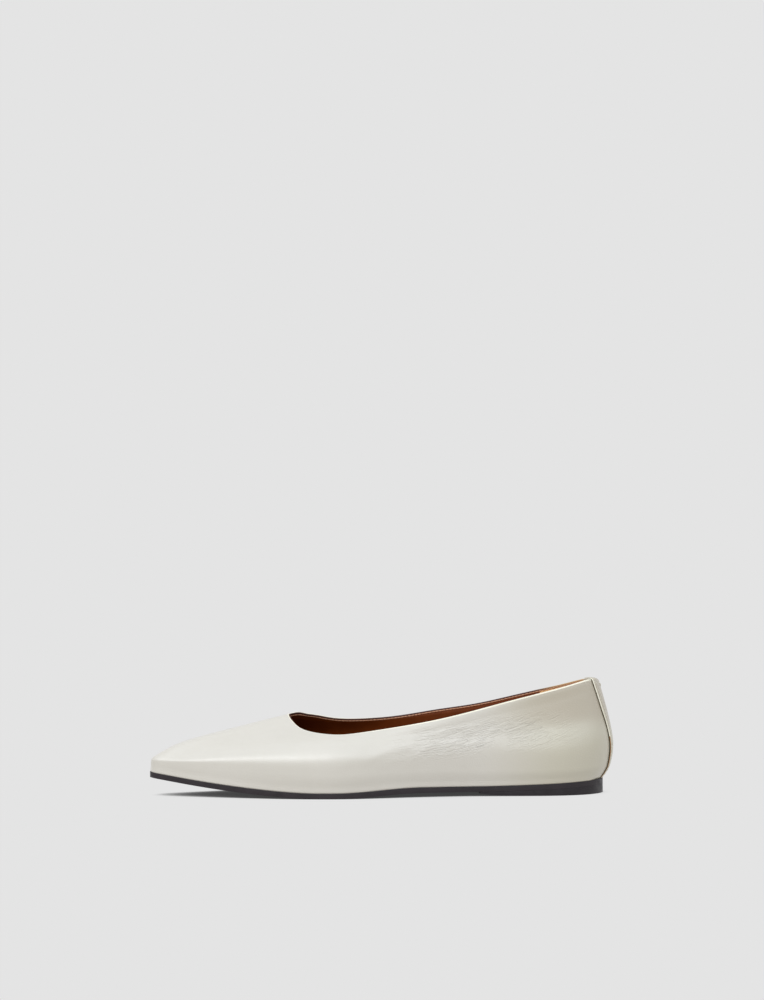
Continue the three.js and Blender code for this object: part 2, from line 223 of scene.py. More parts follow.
# The collar's line. around: share of the way round from toe to heel. back: share of the way from throat to
# back. out_*: share of the collar's width. high_*: share of the rise from that side's low point up to "top".
COLLAR = table("around back out_lateral out_medial high_lateral high_medial top", [
    (0, 0, 0, 0, 1, 1, THROAT_HEIGHT),
    (0.035, 0.0019, 0.05, 0.05, 0.905, 1.06, THROAT_HEIGHT),
    (0.1, 0.013, 0.127, 0.127, 0.665, 1.13, THROAT_HEIGHT),
    (0.18, 0.0305, 0.226, 0.224, 0.415, 1.15, THROAT_HEIGHT),
    (0.255, 0.0554, 0.321, 0.314, 0.225, 0.922, THROAT_HEIGHT),
    (0.32, 0.0902, 0.404, 0.393, 0.096, 0.632, THROAT_HEIGHT),
    (0.375, 0.133, 0.464, 0.449, 0.011, 0.25, THROAT_HEIGHT),
    (0.425, 0.186, 0.501, 0.479, 0, 0.026, THROAT_HEIGHT),
    (0.48, 0.263, 0.514, 0.486, 0.05, 0.005, BACK_HEIGHT),
    (0.55, 0.371, 0.505, 0.471, 0.138, 0.063, BACK_HEIGHT),
    (0.62, 0.487, 0.482, 0.449, 0.256, 0.193, BACK_HEIGHT),
    (0.69, 0.603, 0.454, 0.426, 0.417, 0.318, BACK_HEIGHT),
    (0.76, 0.713, 0.43, 0.412, 0.586, 0.49, BACK_HEIGHT),
    (0.825, 0.815, 0.39, 0.382, 0.734, 0.665, BACK_HEIGHT),
    (0.878, 0.894, 0.33, 0.327, 0.852, 0.798, BACK_HEIGHT),
    (0.924, 0.953, 0.238, 0.237, 0.945, 0.915, BACK_HEIGHT),
    (0.963, 0.988, 0.13, 0.13, 0.975, 0.962, BACK_HEIGHT),
    (1, 1, 0, 0, 0.953, 0.953, BACK_HEIGHT),
])

# The wall between sole and collar, as shares of the height at the back, lateral then medial where a pair is
# given. soft: share of the way from the corner to the points next to it.
WALL_SHAPE = table(
    "around low_l low_m corner_l corner_m low_high corner_high_l corner_high_m slope arch_l arch_m soft", [
        (0, 0.005, 0.005, 0.001, 0.001, 0.06, 0.12, 0.12, 0.23, 0.062, 0.062, 0.6),
        (0.05, 0.01, 0.01, 0.008, 0.008, 0.07, 0.128, 0.128, 0.25, 0.066, 0.074, 0.45),
        (0.18, 0.015, 0.015, 0.012, 0.012, 0.08, 0.215, 0.22, 0.34, 0.055, 0.066, 0.45),
        (0.37, 0.03, 0.036, 0.028, 0.034, 0.1, 0.3, 0.33, 0.45, 0.045, 0.05, 0.7),
        (0.48, 0.034, 0.05, 0.04, 0.075, 0.1, 0.31, 0.37, 0.5, 0.012, 0.03, 0.8),
        (0.62, 0.04, 0.06, 0.068, 0.105, 0.1, 0.31, 0.37, 0.55, -0.03, -0.02, 0.85),
        (0.76, 0.042, 0.05, 0.064, 0.08, 0.09, 0.3, 0.31, 0.66, -0.11, -0.11, 0.85),
        (0.9, 0.046, 0.048, 0.064, 0.07, 0.08, 0.29, 0.29, 0.58, -0.07, -0.07, 0.85),
        (1, 0.059, 0.059, 0.106, 0.106, 0.079, 0.29, 0.29, 0.5, 0.026, 0.026, 0.84),
    ])
WALL_KNOTS = (0, 0, 0, 0, 0.25, 0.5, 0.75, 1, 1, 1, 1)

# Soft creases of the leather. from and to: x as a share of the sole's length, height as a share of the back's
# height.
# depth and width in millimetres. A crease is a trough with a low ridge on either side of it.
CREASES = table("side from_x from_high to_x to_high depth width", [
    (LATERAL, 0.455, 0.34, 0.535, 0.44, 0.15, 2.6),
    (LATERAL, 0.495, 0.31, 0.575, 0.40, 0.13, 2.2),
    (LATERAL, 0.545, 0.34, 0.625, 0.47, 0.17, 2.4),
    (LATERAL, 0.590, 0.33, 0.660, 0.44, 0.13, 2.0),
    (LATERAL, 0.610, 0.43, 0.700, 0.56, 0.15, 2.3),
    (LATERAL, 0.665, 0.42, 0.735, 0.54, 0.12, 2.0),
    (LATERAL, 0.700, 0.52, 0.780, 0.64, 0.11, 2.2),
    (LATERAL, 0.760, 0.44, 0.840, 0.50, 0.09, 2.6),
    (LATERAL, 0.420, 0.22, 0.520, 0.27, 0.08, 2.4),
    (MEDIAL, 0.470, 0.36, 0.540, 0.48, 0.15, 2.4),
    (MEDIAL, 0.530, 0.34, 0.605, 0.47, 0.16, 2.3),
    (MEDIAL, 0.585, 0.42, 0.665, 0.54, 0.15, 2.4),
    (MEDIAL, 0.650, 0.40, 0.735, 0.52, 0.13, 2.1),
    (MEDIAL, 0.715, 0.50, 0.795, 0.61, 0.11, 2.2),
])
# The ridges' height and distance as shares of the depth and width, the bow as a share of the length, and how
# soon the ends fade
CREASE_RIDGE = 0.4
CREASE_RIDGE_APART = 1.8
CREASE_BOW = 0.06
CREASE_FADE = 1.2
TURNED_EDGE = {"swell": 0.10, "swell_at": 2.2, "trough": 0.13, "trough_at": 4.8, "width": 1.3}
UNEVEN = {"size": 26.0, "depth": 0.16}
# The leather's foot, pressed out a little over the sole's edge
FLARE = {"out": 0.55, "high": 1.9}

# The binding's section round the collar: depth under the outer face, height above the collar's line
BINDING_SECTION = table("depth height", [
    (0.82, 0.20), (0.78, 0.74), (0.86, 0.86), (1.02, 0.85), (1.20, 0.77), (1.36, 0.64), (1.48, 0.48),
    (1.54, 0.32), (1.52, 0.20), (1.44, 0.13), (1.2, 0.12),
])
# How much fuller it is at the throat. reach: share of the way round the shoe.
THROAT_BINDING = {"reach": 0.12, "outwards": 0.65, "up": 0.3}


def closed_spline(knots, values):
    """A smooth periodic curve of u through the values at the knots, all in one turn from 0 to 1."""
    count = len(knots)
    gap = np.append(knots[1:], 1.0) - knots
    after = np.roll(np.arange(count), -1)
    before = np.roll(np.arange(count), 1)
    rise = (values[after] - values) / gap
    system = np.zeros((count, count))
    rows = np.arange(count)
    system[rows, rows] = 2 * (gap[before] + gap)
    system[rows, before] += gap[before]
    system[rows, after] += gap
    bend = np.linalg.solve(system, 6 * (rise - rise[before]))

    def at(turn):
        u = np.mod(turn, 1.0)
        i = np.clip(np.searchsorted(knots, u, side="right") - 1, 0, count - 1)
        j = after[i]
        share = (u - knots[i]) / gap[i]
        rest = 1 - share
        curved = (rest**3 - rest) * bend[i] + (share**3 - share) * bend[j]
        return rest * values[i] + share * values[j] + curved * gap[i] ** 2 / 6

    return at


def round_the_shoe(around, lateral, medial):
    """One quantity round the shoe. u: 0 at the toe's tip, then the outer side, 0.5 at the heel's back."""
    knots = np.concatenate([around / 2, 1 - around[-2:0:-1] / 2])
    return closed_spline(knots, np.concatenate([lateral, medial[-2:0:-1]]))


def outline_around():
    """The outline rows' share of the way round, from the mean of the two sides' chords."""
    along = np.diff(OUTLINE["at"]) * SOLE_LENGTH
    chords = [np.hypot(along, np.diff(OUTLINE[side] * OUTLINE["of"])) for side in ("lateral", "medial")]
    walked = np.append(0, np.cumsum(sum(chords)))
    return walked / walked[-1]


def collar_high(side, low):
    """The collar's height at the table's rows, on one side."""
    return low + COLLAR["high_" + side] * (COLLAR["top"] - low)


def wall_shape(lateral, medial):
    """One column of the wall's table for each side, as a curve round the shoe."""
    return round_the_shoe(WALL_SHAPE["around"], WALL_SHAPE[lateral], WALL_SHAPE[medial])


edge_around = outline_around()
edge_along = round_the_shoe(edge_around, OUTLINE["at"] * SOLE_LENGTH, OUTLINE["at"] * SOLE_LENGTH)
edge_across = round_the_shoe(
    edge_around, -OUTLINE["lateral"] * OUTLINE["of"], OUTLINE["medial"] * OUTLINE["of"])
collar_x = VAMP_LENGTH + COLLAR["back"] * (SOLE_LENGTH - BACK_LEAN - VAMP_LENGTH)
collar_along = round_the_shoe(COLLAR["around"], collar_x, collar_x)
collar_across = round_the_shoe(
    COLLAR["around"], -COLLAR["out_lateral"] * COLLAR_WIDTH, COLLAR["out_medial"] * COLLAR_WIDTH)
collar_height = round_the_shoe(
    COLLAR["around"], collar_high("lateral", LATERAL_LOW), collar_high("medial", MEDIAL_LOW))
low_out = wall_shape("low_l", "low_m")
low_high = wall_shape("low_high", "low_high")
corner_out = wall_shape("corner_l", "corner_m")
corner_high = wall_shape("corner_high_l", "corner_high_m")
slope_share = wall_shape("slope", "slope")
arch_high = wall_shape("arch_l", "arch_m")
softness = wall_shape("soft", "soft")


def unit(vectors):
    """The vectors at length 1."""
    return vectors / np.linalg.norm(vectors, axis=-1, keepdims=True)


def edge(u, out=0.0):
    """x and y of the sole's outline, moved outwards by "out"."""
    dx = edge_along(u + NUDGE) - edge_along(u - NUDGE)
    dy = edge_across(u + NUDGE) - edge_across(u - NUDGE)
    length = np.hypot(dx, dy)
    return edge_along(u) + dy / length * out, edge_across(u) - dx / length * out


def sole_bottom(x):
    """Height of the sole's underside: toe spring, flat tread, waist and heel seat."""
    spring = TOE_SPRING * np.maximum(0, 1 - x / FLAT_START) ** BED_CURVE
    share = np.clip((x - FLAT_END) / (WAIST_START - FLAT_END), 0, 1)
    waist = WAIST_RISE * share * share * (3 - 2 * share)
    seat = np.maximum(0, (x - HEEL_FRONT_TOP) / (SOLE_LENGTH - HEEL_FRONT_TOP))
    return spring + waist + (HEEL_LIFT_HEIGHT - WAIST_RISE) * seat**BED_CURVE


def sole_top(x):
    """Height of the sole's upper face."""
    return sole_bottom(x) + SOLE_THICKNESS


def wall_controls(u):
    """The seven points that draw the wall's line at u, from the sole's edge to the collar."""
    def raised(out, high):
        x, y = edge(u, out * BACK_HEIGHT - FEATHER_INSET)
        return np.stack([x, y, sole_top(x) + SEAM + high * BACK_HEIGHT], axis=-1)

    def between(start, end, share):
        return start + (end - start) * share[..., None]

    low = raised(low_out(u), low_high(u))
    corner = raised(corner_out(u), corner_high(u))
    collar = np.stack([collar_along(u), collar_across(u), collar_height(u)], axis=-1)
    slope = between(corner, collar, slope_share(u))
    slope[..., 2] += arch_high(u) * BACK_HEIGHT
    below = between(corner, low, softness(u))
    above = between(corner, slope, softness(u))
    return np.stack([raised(0, 0), low, below, corner, above, slope, collar])


def spline_weights(v):
    """The cubic B-spline weights of the wall's seven points at v."""
    v = np.clip(v, 0, 1 - 1e-9)
    spans = list(zip(WALL_KNOTS, WALL_KNOTS[1:]))
    weights = [((low <= v) & (v < high)).astype(float) for low, high in spans]
    for degree in (1, 2, 3):
        raised = []
        for i in range(len(weights) - 1):
            width = WALL_KNOTS[i + degree] - WALL_KNOTS[i]
            next_width = WALL_KNOTS[i + degree + 1] - WALL_KNOTS[i + 1]
            up = (v - WALL_KNOTS[i]) / width * weights[i] if width else 0 * v
            down = (WALL_KNOTS[i + degree + 1] - v) / next_width * weights[i + 1] if next_width else 0 * v
            raised.append(up + down)
        weights = raised
    return np.stack(weights)


def wall(u, v):
    """Points of the upper's outer face, with v 0 at the sole and 1 at the collar."""
    u, v = np.broadcast_arrays(np.asarray(u, float), np.asarray(v, float))
    return np.einsum("k...,k...d->...d", spline_weights(v), wall_controls(u))


def wall_frame(u, v):
    """The outer face at u and v, and its upward and outward directions."""
    up = unit(wall(u, np.minimum(1, v + NUDGE)) - wall(u, np.maximum(0, v - NUDGE)))
    along = wall(u + NUDGE, v) - wall(u - NUDGE, v)
    return wall(u, v), up, unit(np.cross(along, up))


def near_collar(u, depth, height):
    """Points "depth" under the outer face and "height" above the collar's line, or below it if negative."""
    reach = np.linalg.norm(wall(u, 1.0) - wall(u, 1 - NUDGE), axis=-1) / NUDGE
    v = np.clip(1 + height / reach, 0, 1)
    at, up, out = wall_frame(u, v)
    return at - out * np.expand_dims(depth, -1) + up * np.expand_dims(np.maximum(0, height), -1)


def skin_points(u, step, grow=0.0):
    """The wall's skin, grown outwards. Steps: 0 to 1 up the outside, to 2 over the rim, to 3 down inside."""
    v = np.where(step <= 1, step, np.where(step < 2, 1, 3 - step))
    at, up, out = wall_frame(u, v)
    angle = np.clip(step - 1, 0, 1) * math.pi
    radius = WALL / 2 + grow
    outwards = np.expand_dims(radius * np.cos(angle) - WALL / 2, -1)
    upwards = np.expand_dims(radius * np.sin(angle), -1)
    return at + out * outwards + up * upwards


def crowded(start, end, count):
    """Values of u from start to end, closer together at the toe's tip and the back of the heel."""
    turns = np.linspace(0, 1, 4001)
    spread = turns - CROWDING * np.sin(4 * math.pi * turns) / (4 * math.pi)
    first, last = np.interp([start, end], spread, turns)
    return np.interp(np.linspace(first, last, count + 1), turns, spread)


def u_at(x):
    """The outer side's u where the outline is x from the toe's tip."""
    turns = np.linspace(0, 0.5, 4001)
    return float(np.interp(x, edge_along(turns), turns))


heel_back = max(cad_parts["outsole"].data.vertices, key=lambda vertex: vertex.co.x).co
ORIGIN = np.array([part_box("outsole")[0].x, heel_back.y, 0.0])


def placed(points):
    """Millimetres from the toe's tip as metres in the frame."""
    return np.asarray(points, float).reshape(-1, 3) * MM + ORIGIN


def add_piece(name, mesh, *materials):
    """Puts a smooth mesh into the scene as a piece."""
    for material in materials:
        mesh.materials.append(material)
    mesh.shade_smooth()
    piece = bpy.data.objects.new(name, mesh)
    bpy.context.scene.collection.objects.link(piece)
    return piece


def ring_faces(count, around, joined=False):
    """The faces between "count" rings of "around" points, and between the last and the first if joined."""
    here = np.arange(count if joined else count - 1)[:, None] * around
    there = ((np.arange(len(here)) + 1) % count)[:, None] * around
    k = np.arange(around)[None, :]
    following = (k + 1) % around
    faces = np.stack([here + k, there + k, there + following, here + following], axis=-1)
    return faces.reshape(-1, 4).tolist()


def skin_mesh(name, rings, ends, paint=None):
    """A closed mesh over rings of points, each a closed loop. ends: "joined" to each other, or "capped".

    paint: the number of each face's material, one row for each ring."""
    rings = np.asarray(rings)
    count, around = rings.shape[:2]
    faces = ring_faces(count, around, ends == "joined")
    if ends == "capped":
        faces += [list(range(around)), list(range((count - 1) * around, count * around))]
    mesh = bpy.data.meshes.new(name)
    mesh.from_pydata(placed(rings).tolist(), [], faces)
    if paint is not None:
        caps = np.zeros(len(faces) - paint.size)
        mesh.polygons.foreach_set("material_index", np.append(paint.ravel(), caps).astype(np.int32))
    tidy_mesh(mesh)
    return mesh


def tidy_mesh(mesh):
    """Merges doubles, drops flattened faces and turns every face outwards."""
    solid = bmesh.new()
    solid.from_mesh(mesh)
    bmesh.ops.remove_doubles(solid, verts=solid.verts, dist=1e-6)
    bmesh.ops.dissolve_degenerate(solid, edges=solid.edges, dist=1e-6)
    bmesh.ops.recalc_face_normals(solid, faces=solid.faces)
    solid.to_mesh(mesh)
    solid.free()


class Nodes:
    """Short calls that build one node tree."""

    def __init__(self, tree):
        self.tree = tree

    def add(self, kind, inputs=(), **settings):
        """A node with its settings, and with values or other nodes' outputs on its inputs."""
        node = self.tree.nodes.new(kind)
        for name, value in settings.items():
            setattr(node, name, value)
        for name, value in dict(inputs).items():
            self.set(node.inputs[name], value)
        return node

    def set(self, socket, value):
        """Gives a socket a value, or links another node's output to it."""
        if isinstance(value, bpy.types.NodeSocket):
            self.tree.links.new(value, socket)
        else:
            socket.default_value = value

    def math(self, operation, *values, clamp=False):
        """A sum, product or the like of numbers."""
        node = self.add("ShaderNodeMath", enumerate(values), operation=operation, use_clamp=clamp)
        return node.outputs[0]

    def ramp(self, value, start, end, low=0.0, high=1.0):
        """A smooth step of value from low at start to high at end."""
        inputs = {"Value": value, "From Min": start, "From Max": end, "To Min": low, "To Max": high}
        return self.add("ShaderNodeMapRange", inputs, interpolation_type="SMOOTHSTEP").outputs[0]

    def blend(self, share, first, second):
        """A colour between two others."""
        node = self.add("ShaderNodeMix", data_type="RGBA")
        self.set(node.inputs["Factor"], share)
        self.set(node.inputs[6], first)
        self.set(node.inputs[7], second)
        return node.outputs[2]


def colour(red, green, blue):
    """An opaque colour."""
    return (red, green, blue, 1.0)


def new_material(name, roughness, specular, coat=0.0, coat_roughness=0.3, sheen=0.0):
    """A material with its nodes, its surface shader and its Object coordinates."""
    material = bpy.data.materials.new(name)
    material.use_nodes = True
    nodes = Nodes(material.node_tree)
    shader = material.node_tree.nodes["Principled BSDF"]
    shader.inputs["Roughness"].default_value = roughness
    shader.inputs["Specular IOR Level"].default_value = specular
    shader.inputs["Coat Weight"].default_value = coat
    shader.inputs["Coat Roughness"].default_value = coat_roughness
    shader.inputs["Sheen Weight"].default_value = sheen
    coords = nodes.add("ShaderNodeTexCoord").outputs["Object"]
    return material, nodes, shader, coords


def cloud(nodes, coords, size, detail=2.0, roughness=0.5):
    """Noise whose features are "size" millimetres across."""
    inputs = {"Vector": coords, "Scale": 1 / (size * MM), "Detail": detail, "Roughness": roughness}
    return nodes.add("ShaderNodeTexNoise", inputs).outputs["Fac"]


def pebbles(nodes, coords, size, softness=0.6):
    """Rounded cells "size" millimetres across, high in their middles."""
    inputs = {"Vector": coords, "Scale": 1 / (size * MM), "Smoothness": softness}
    cells = nodes.add("ShaderNodeTexVoronoi", inputs, feature="SMOOTH_F1")
    return nodes.math("SUBTRACT", 1.0, cells.outputs["Distance"])


def raised(nodes, height, depth, normal=None):
    """A bump of "depth" millimetres."""
    inputs = {"Height": height, "Distance": depth * MM}
    if normal is not None:
        inputs["Normal"] = normal
    return nodes.add("ShaderNodeBump", inputs).outputs["Normal"]


def upper_leather():
    """Pale smooth leather with a satin finish: fine pores, short slanting wrinkles on the quarters, and
    painted shade towards the heel.
    """
    material, nodes, shader, coords = new_material(
        "pale satin leather", roughness=0.43, specular=0.96, coat=0.8, coat_roughness=0.38)
    place = nodes.add("ShaderNodeSeparateXYZ", {"Vector": coords}).outputs
    fine = cloud(nodes, coords, 5, 4)
    broad = nodes.ramp(cloud(nodes, coords, 42, 3), 0.35, 0.65)
    tone = nodes.blend(broad, colour(0.541, 0.507, 0.445), colour(0.555, 0.520, 0.459))
    tone = nodes.blend(nodes.ramp(fine, 0.3, 0.75, 0, 0.25), tone, colour(0.520, 0.484, 0.420))
    # Painted shade: the leather darkens towards the heel, and more so high up there.
    heel_painted_shade = nodes.ramp(place["X"], *PAINTED_SHADE_AT_HEEL)
    tone = nodes.blend(heel_painted_shade, tone, colour(0.467, 0.430, 0.336))
    high_heel_painted_shade = nodes.math("MULTIPLY", heel_painted_shade, nodes.ramp(place["Z"], *PAINTED_SHADE_HIGH_AT_HEEL))
    tone = nodes.blend(high_heel_painted_shade, tone, colour(0.410, 0.358, 0.273))
    nodes.set(shader.inputs["Base Color"], tone)
    nodes.set(shader.inputs["Roughness"], nodes.ramp(fine, 0.3, 0.7, 0.40, 0.46))
    grain = raised(nodes, pebbles(nodes, coords, 0.75), 0.03)
    grain = raised(nodes, cloud(nodes, coords, 0.35, 3), 0.025, grain)
    wrinkled = raised(nodes, wrinkles(nodes, coords, place), WRINKLE_DEPTH, grain)
    nodes.set(shader.inputs["Normal"], wrinkled)
    return material


def wrinkles(nodes, coords, place):
    """Short strokes along the quarters, steeper towards the heel, in a slanting band that fades out."""
    steeper = nodes.math("MULTIPLY", place["X"], WRINKLE_BEND)
    climb = nodes.math("MULTIPLY", place["X"], nodes.math("ADD", WRINKLE_SLOPE, steeper))
    stretched = nodes.add("ShaderNodeCombineXYZ", {
        "X": nodes.math("DIVIDE", place["X"], WRINKLE_LONG * MM),
        "Y": nodes.math("DIVIDE", place["Y"], WRINKLE_LONG * MM),
        "Z": nodes.math("DIVIDE", nodes.math("SUBTRACT", place["Z"], climb), WRINKLE_SHORT * MM)})
    strokes = nodes.add("ShaderNodeTexNoise", {
        "Vector": stretched.outputs[0], "Scale": 0.5, "Detail": 2.0, "Roughness": 0.55}).outputs["Fac"]
    from_valley = nodes.math("ABSOLUTE", nodes.math("SUBTRACT", strokes, 0.5))
    valleys = nodes.math("MULTIPLY", from_valley, WRINKLE_SHARPNESS, clamp=True)
    middle = nodes.math("ADD", WRINKLES_MIDDLE, nodes.math("MULTIPLY", place["X"], WRINKLES_CLIMB))
    away = nodes.math("ABSOLUTE", nodes.math("SUBTRACT", place["Z"], middle))
    start = nodes.ramp(place["X"], *WRINKLES_START)
    zone = nodes.math("MULTIPLY", start, nodes.ramp(place["X"], *WRINKLES_END))
    band = nodes.math("MULTIPLY", zone, nodes.ramp(away, *WRINKLES_FADE))
    patches = nodes.ramp(cloud(nodes, coords, 11, 2), *WRINKLE_PATCHES)
    side = nodes.ramp(place["Y"], *TOWARDS_INNER_SIDE, 1.0, ON_INNER_SIDE)
    band = nodes.math("MULTIPLY", band, side)
    return nodes.math("MULTIPLY", valleys, nodes.math("MULTIPLY", band, patches))


def plain_leather(name, base, dark, roughness, pore, depth, sheen=0.0, at_heel=None):
    """Unfinished leather in two close tones, and a third one round the heel where it is given."""
    material, nodes, shader, coords = new_material(name, roughness, specular=0.15, sheen=sheen)
    tone = nodes.blend(nodes.ramp(cloud(nodes, coords, 9, 4), 0.3, 0.7), dark, base)
    if at_heel is not None:
        along = nodes.add("ShaderNodeSeparateXYZ", {"Vector": coords}).outputs["X"]
        tone = nodes.blend(nodes.ramp(along, *BINDING_AT_HEEL), tone, at_heel)
    nodes.set(shader.inputs["Base Color"], tone)
    nodes.set(shader.inputs["Normal"], raised(nodes, pebbles(nodes, coords, pore), depth))
    return material


def raw_edge():
    """The strip's cut edge: bare orange-brown hide, a little duller higher up."""
    material, nodes, shader, coords = new_material("cut edge", roughness=0.7, specular=0.2)
    height = nodes.add("ShaderNodeSeparateXYZ", {"Vector": coords}).outputs["Z"]
    tone = nodes.blend(nodes.ramp(height, *EDGE_DULLS), colour(0.38, 0.22, 0.11), colour(0.34, 0.25, 0.13))
    fibre = cloud(nodes, coords, 0.4, 3)
    tone = nodes.blend(nodes.ramp(fibre, 0.3, 0.8, 0, 0.4), tone, colour(0.16, 0.08, 0.03))
    nodes.set(shader.inputs["Base Color"], tone)
    nodes.set(shader.inputs["Normal"], raised(nodes, fibre, 0.06))
    return material


def sole_rubber(name, base, roughness, pore, depth):
    """Near-black rubber with a fine matt skin."""
    material, nodes, shader, coords = new_material(name, roughness, specular=0.4)
    pale = colour(*(1.5 * part for part in base[:3]))
    tone = nodes.blend(nodes.ramp(cloud(nodes, coords, 12, 4), 0.3, 0.7), base, pale)
    nodes.set(shader.inputs["Base Color"], tone)
    rough = nodes.ramp(cloud(nodes, coords, 3, 4), 0.3, 0.7, roughness - 0.08, roughness + 0.08)
    nodes.set(shader.inputs["Roughness"], rough)
    nodes.set(shader.inputs["Normal"], raised(nodes, cloud(nodes, coords, pore, 3), depth))
    return material


def thread(name, base):
    """Sewing thread with painted shade: darker in the low spots of its bump."""
    material, nodes, shader, coords = new_material(name, roughness=0.6, specular=0.3, sheen=0.2)
    shade = cloud(nodes, coords, 0.3, 2)
    dark = colour(*(0.7 * part for part in base[:3]))
    nodes.set(shader.inputs["Base Color"], nodes.blend(nodes.ramp(shade, 0.35, 0.65), dark, base))
    nodes.set(shader.inputs["Normal"], raised(nodes, shade, 0.04))
    return material


def crease_height(points, side_of):
    """How far the creases lift or sink the leather at the points, in millimetres."""
    x = points[..., 0]
    z = points[..., 2]
    total = np.zeros_like(x)
    for side, from_x, from_high, to_x, to_high, depth, width in zip(*CREASES.values()):
        start = np.array([from_x * SOLE_LENGTH, from_high * BACK_HEIGHT])
        end = np.array([to_x * SOLE_LENGTH, to_high * BACK_HEIGHT])
        along = (end - start) / np.linalg.norm(end - start)
        reach = (x - start[0]) * along[0] + (z - start[1]) * along[1]
        share = reach / np.linalg.norm(end - start)
        bow = CREASE_BOW * np.linalg.norm(end - start) * np.sin(math.pi * np.clip(share, 0, 1))
        across = (x - start[0]) * -along[1] + (z - start[1]) * along[0] - bow
        fade = np.clip(4 * share * (1 - share), 0, 1) ** CREASE_FADE
        trough = np.exp(-((across / width) ** 2))
        apart = CREASE_RIDGE_APART * width
        ridges = np.exp(-(((across - apart) / width) ** 2)) + np.exp(-(((across + apart) / width) ** 2))
        total += np.where(side_of == side, depth * fade * (CREASE_RIDGE * ridges - trough), 0)
    return total


def upper_rings():
    """The outer leather: up the outside with its creases, over the rim's outer half and down behind."""
    u = crowded(0, 1, STATIONS)[:-1][:, None]
    v = np.linspace(0, 1, HEIGHTS + 1)[None, :]
    at, _, out = wall_frame(u, v)
    drop = np.cumsum(np.linalg.norm(np.diff(at[:, ::-1], axis=1), axis=-1), axis=1)
    drop = np.concatenate([np.zeros((len(u), 1)), drop], axis=1)[:, ::-1]
    side_of = np.where(u < 0.5, LATERAL, MEDIAL)
    lift = crease_height(at, side_of)
    from_swell = (drop - TURNED_EDGE["swell_at"]) / TURNED_EDGE["width"]
    from_trough = (drop - TURNED_EDGE["trough_at"]) / TURNED_EDGE["width"]
    swell = TURNED_EDGE["swell"] * np.exp(-(from_swell**2))
    trough = TURNED_EDGE["trough"] * np.exp(-(from_trough**2))
    uneven = [noise.noise(Vector(p / UNEVEN["size"])) for p in at.reshape(-1, 3)]
    lift += UNEVEN["depth"] * np.reshape(uneven, drop.shape)
    lift *= np.clip(drop / PLAIN_BY_COLLAR, 0, 1) * np.clip(v / PLAIN_BY_SOLE, 0, 1)
    lift += swell - trough
    lift += FLARE["out"] * np.exp(-(((at[..., 2] - at[:, :1, 2]) / FLARE["high"]) ** 2))
    from_strip = np.abs(at[..., 1]) - STRIP_TOP_WIDTH / 2 - PLAIN_BESIDE_STRIP
    by_strip = np.clip(from_strip / PLAIN_BY_STRIP, 0, 1)
    lift *= np.where(at[..., 0] > SOLE_LENGTH - PLAIN_AT_HEEL, by_strip, 1)
    outside = at + out * lift[..., None]
    outside[..., 2] -= (SEAM - SOLE_GAP) * np.clip(1 - v / PRESSED_FOOT, 0, 1)
    angle = np.linspace(0, 90, RIM_STEPS + 1)[1:]
    rim = skin_points(u, 1 + angle[None, :] / 180)
    inner_v = np.linspace(1, 0, INSIDE_STEPS)[None, :]
    inside_at, _, inside_out = wall_frame(u, inner_v)
    inside = inside_at - inside_out * LEATHER_THICKNESS
    inside[:, -1, 2] = outside[:, 0, 2]
    return np.concatenate([outside, rim, inside], axis=1)


def upper_paint():
    """Which material each face of the leather takes: 0 its finish, 1 a paler colour over the rim, a painted
    highlight.
    """
    step = np.arange(HEIGHTS + 1 + RIM_STEPS + INSIDE_STEPS)
    # The rim's faces take the paler colour: a painted highlight along the collar's top.
    rolled = (step >= HEIGHTS) & (step < HEIGHTS + RIM_STEPS)
    return np.tile(rolled.astype(int), (STATIONS, 1))


def lining_rings():
    """The lining behind the leather, from under the binding down to the sole."""
    u = crowded(0, 1, STATIONS // 2)[:-1][:, None]
    v = np.linspace(0, 1, 41)[None, :]
    at, _, out = wall_frame(u, v)
    outer = at - out * LINING_START
    inner = (at - out * WALL)[:, ::-1]
    return np.concatenate([outer, inner], axis=1)


def binding_rings():
    """The binding's ring, fuller round the throat, where it bends most."""
    u = crowded(0, 1, STATIONS)[:-1][:, None]
    near_throat = np.clip(1 - np.minimum(u, 1 - u) / THROAT_BINDING["reach"], 0, 1) ** 0.5
    depth = BINDING_SECTION["depth"][None, :] - THROAT_BINDING["outwards"] * near_throat
    return near_collar(u, depth, BINDING_SECTION["height"][None, :] + THROAT_BINDING["up"] * near_throat)


def strip_width(step):
    """The strip's width at a step, with its edges worn in a little: less at the top, more below."""
    share = np.minimum(1, step)
    worn = STRIP_NARROWER[1] + (STRIP_NARROWER[0] - STRIP_NARROWER[1]) * share
    return STRIP_FOOT_WIDTH + (STRIP_TOP_WIDTH - STRIP_FOOT_WIDTH) * share - 2 * worn


def strip_half(step):
    """Half of the strip's width at a step, measured in u."""
    ends = skin_points(np.array(0.5 - NUDGE), step), skin_points(np.array(0.5 + NUDGE), step)
    width = strip_width(step)
    return width * NUDGE / np.linalg.norm(ends[0] - ends[1], axis=-1)


def strip_steps():
    """The strip's steps: up the back seam, over the rim and a little way down inside."""
    outside = np.linspace(STRIP_START, 1, 60)
    rim = np.linspace(1, 2, 11)[1:-1]
    inside = 2 + np.linspace(0, STRIP_TURN_IN / BACK_HEIGHT, 10)
    return np.concatenate([outside, rim, inside])


def strip_thick(step):
    """The strip is pared thin towards its foot, and where it turns over the rim."""
    foot = STRIP_THICKNESS - STRIP_FOOT_THICKNESS
    turn = STRIP_THICKNESS - STRIP_TURN_THICKNESS
    at_foot = np.clip(1 - step / STRIP_SKIVED, 0, 1)
    at_turn = np.clip((step - STRIP_TURN["from"]) / STRIP_TURN["over"], 0, 1)
    return STRIP_THICKNESS + SEAM - STRIP_GAP - (foot * at_foot + turn * at_turn)


